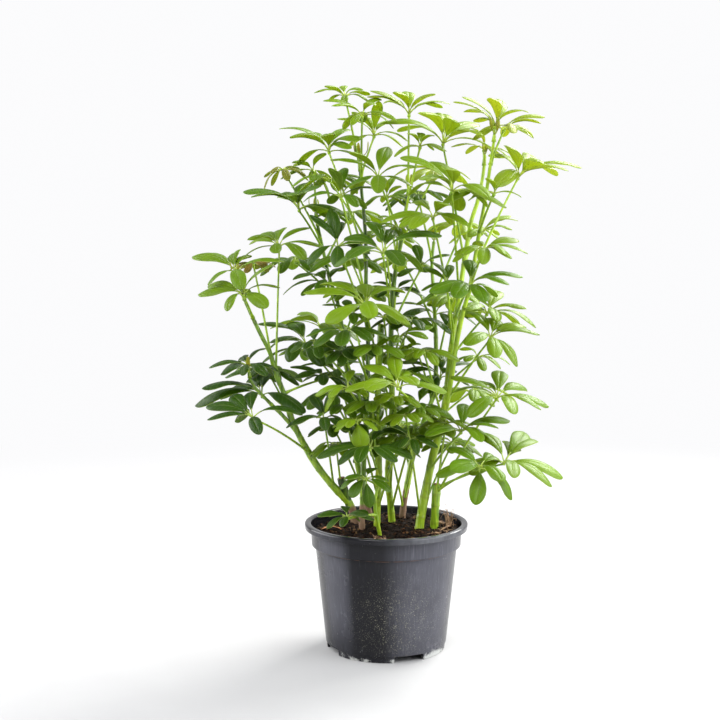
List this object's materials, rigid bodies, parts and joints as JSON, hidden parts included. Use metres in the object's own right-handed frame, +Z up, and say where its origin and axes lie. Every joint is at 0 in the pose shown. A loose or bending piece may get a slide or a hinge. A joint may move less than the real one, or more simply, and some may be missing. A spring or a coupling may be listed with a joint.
{
  "type": "potted umbrella plant",
  "caption": "Bushy umbrella plant with upright canes and fans of oval leaflets, standing in a round tapered plastic nursery pot filled with soil.",
  "frame": {"origin": "on the floor, on the axis of the pot", "axes": "+Z up along the pot's axis, +X to the right of the plant's front, -Y towards its front"},
  "size_m": [0.4418, 0.2911, 0.6507],
  "materials": {
    "pot_plastic": "black moulded plastic, soft sheen, dusty",
    "soil": "dark potting mix with fibres, rough",
    "foliage": "living leaves and green canes, waxy",
    "dead_leaf": "dry brown leaflet, dull",
    "root": "dry woody root, rough"
  },
  "bodies": {
    "root": {"pot": "pot_plastic", "soil": "soil", "cane_left": "foliage", "cane_dark": "foliage", "cane_back_left": "foliage", "cane_cut": "foliage", "cane_tall": "foliage", "cane_back": "foliage", "cane_right": "foliage", "cane_short": "foliage", "cane_front": "foliage", "fallen_leaflet": "dead_leaf", "root_right": "root", "root_middle": "root", "root_front": "root"}
  },
  "joints": []
}
